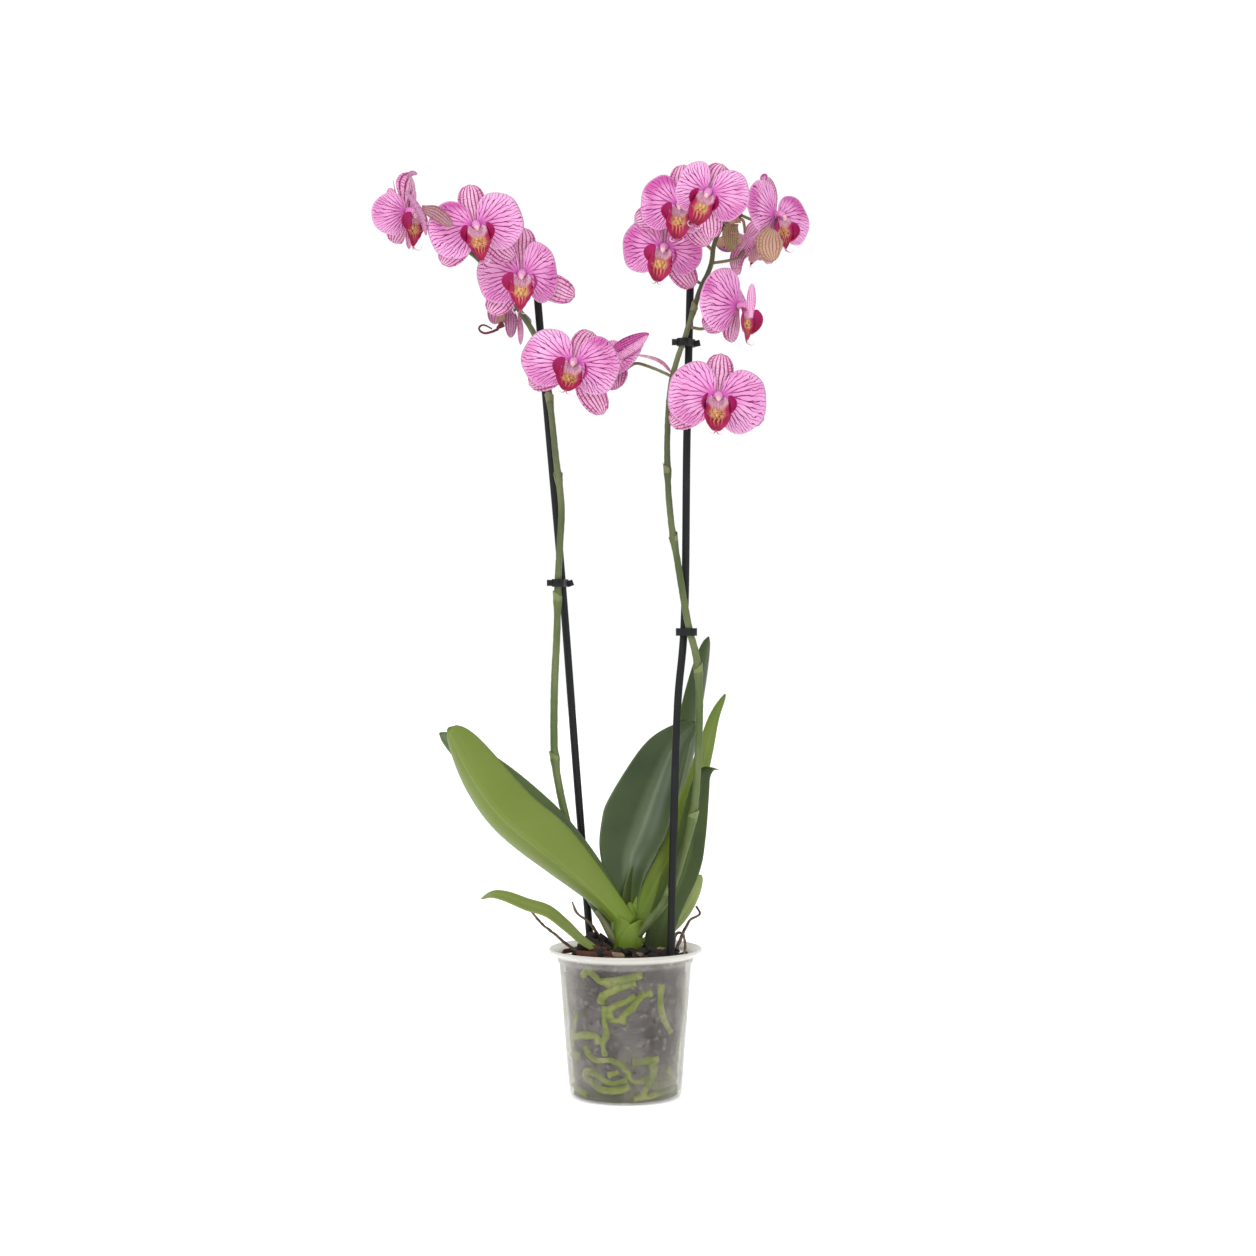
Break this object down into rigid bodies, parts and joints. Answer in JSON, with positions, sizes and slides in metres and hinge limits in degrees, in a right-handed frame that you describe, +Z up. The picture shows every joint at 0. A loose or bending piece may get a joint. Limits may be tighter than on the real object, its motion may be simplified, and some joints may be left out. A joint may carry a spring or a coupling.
{
  "type": "potted orchid",
  "caption": "Moth orchid with strap leaves and two arching, staked flower spikes of pink veined blooms, rooted in bark in a clear round nursery pot.",
  "frame": {"origin": "centre of the pot's base", "axes": "+Z up along the pot's axis, -Y towards the side that the blooms face, +X to the right as seen from there"},
  "size_m": [0.3409, 0.1501, 0.724],
  "materials": {
    "pot": "frosted clear",
    "crown": "satin",
    "root": "matt",
    "air_root": "matt",
    "leaf": "satin",
    "young_leaf": "satin",
    "bark": "rough",
    "spike": "satin",
    "bract": "soft",
    "stake": "matt",
    "clip": "satin",
    "bloom": "velvet",
    "lip": "satin"
  },
  "bodies": {
    "root": {"pot": "pot", "crown": "crown", "roots": "root", "leaf_front_left": "young_leaf", "leaf_back_left": "leaf", "leaf_low_left": "leaf", "leaf_broad": "leaf", "leaf_tall": "leaf", "leaf_narrow_right": "young_leaf", "leaf_front_right": "leaf", "leaf_small_right": "leaf", "bark": "bark", "spike_left": "spike", "stake_left": "stake", "spike_right": "spike", "stake_right": "stake", "bract_right": "bract", "air_root_left": "air_root", "air_root_back": "air_root", "air_root_right": "air_root", "air_root_loop": "air_root", "clip_left": "clip", "clip_right_low": "clip", "clip_right_high": "clip", "bloom_a": "bloom", "lip_a": "lip", "bloom_b": "bloom", "lip_b": "lip", "bloom_c": "bloom", "lip_c": "lip", "bloom_d": "bloom", "lip_d": "lip", "bloom_e": "bloom", "lip_e": "lip", "bloom_f": "bloom", "lip_f": "lip", "bloom_g": "bloom", "lip_g": "lip", "bloom_h": "bloom", "lip_h": "lip", "bloom_i": "bloom", "lip_i": "lip", "bloom_j": "bloom", "lip_j": "lip", "bloom_k": "bloom", "lip_k": "lip", "bloom_l": "bloom", "lip_l": "lip", "bloom_m": "bloom", "lip_m": "lip", "bloom_n": "bloom", "lip_n": "lip"}
  },
  "joints": []
}
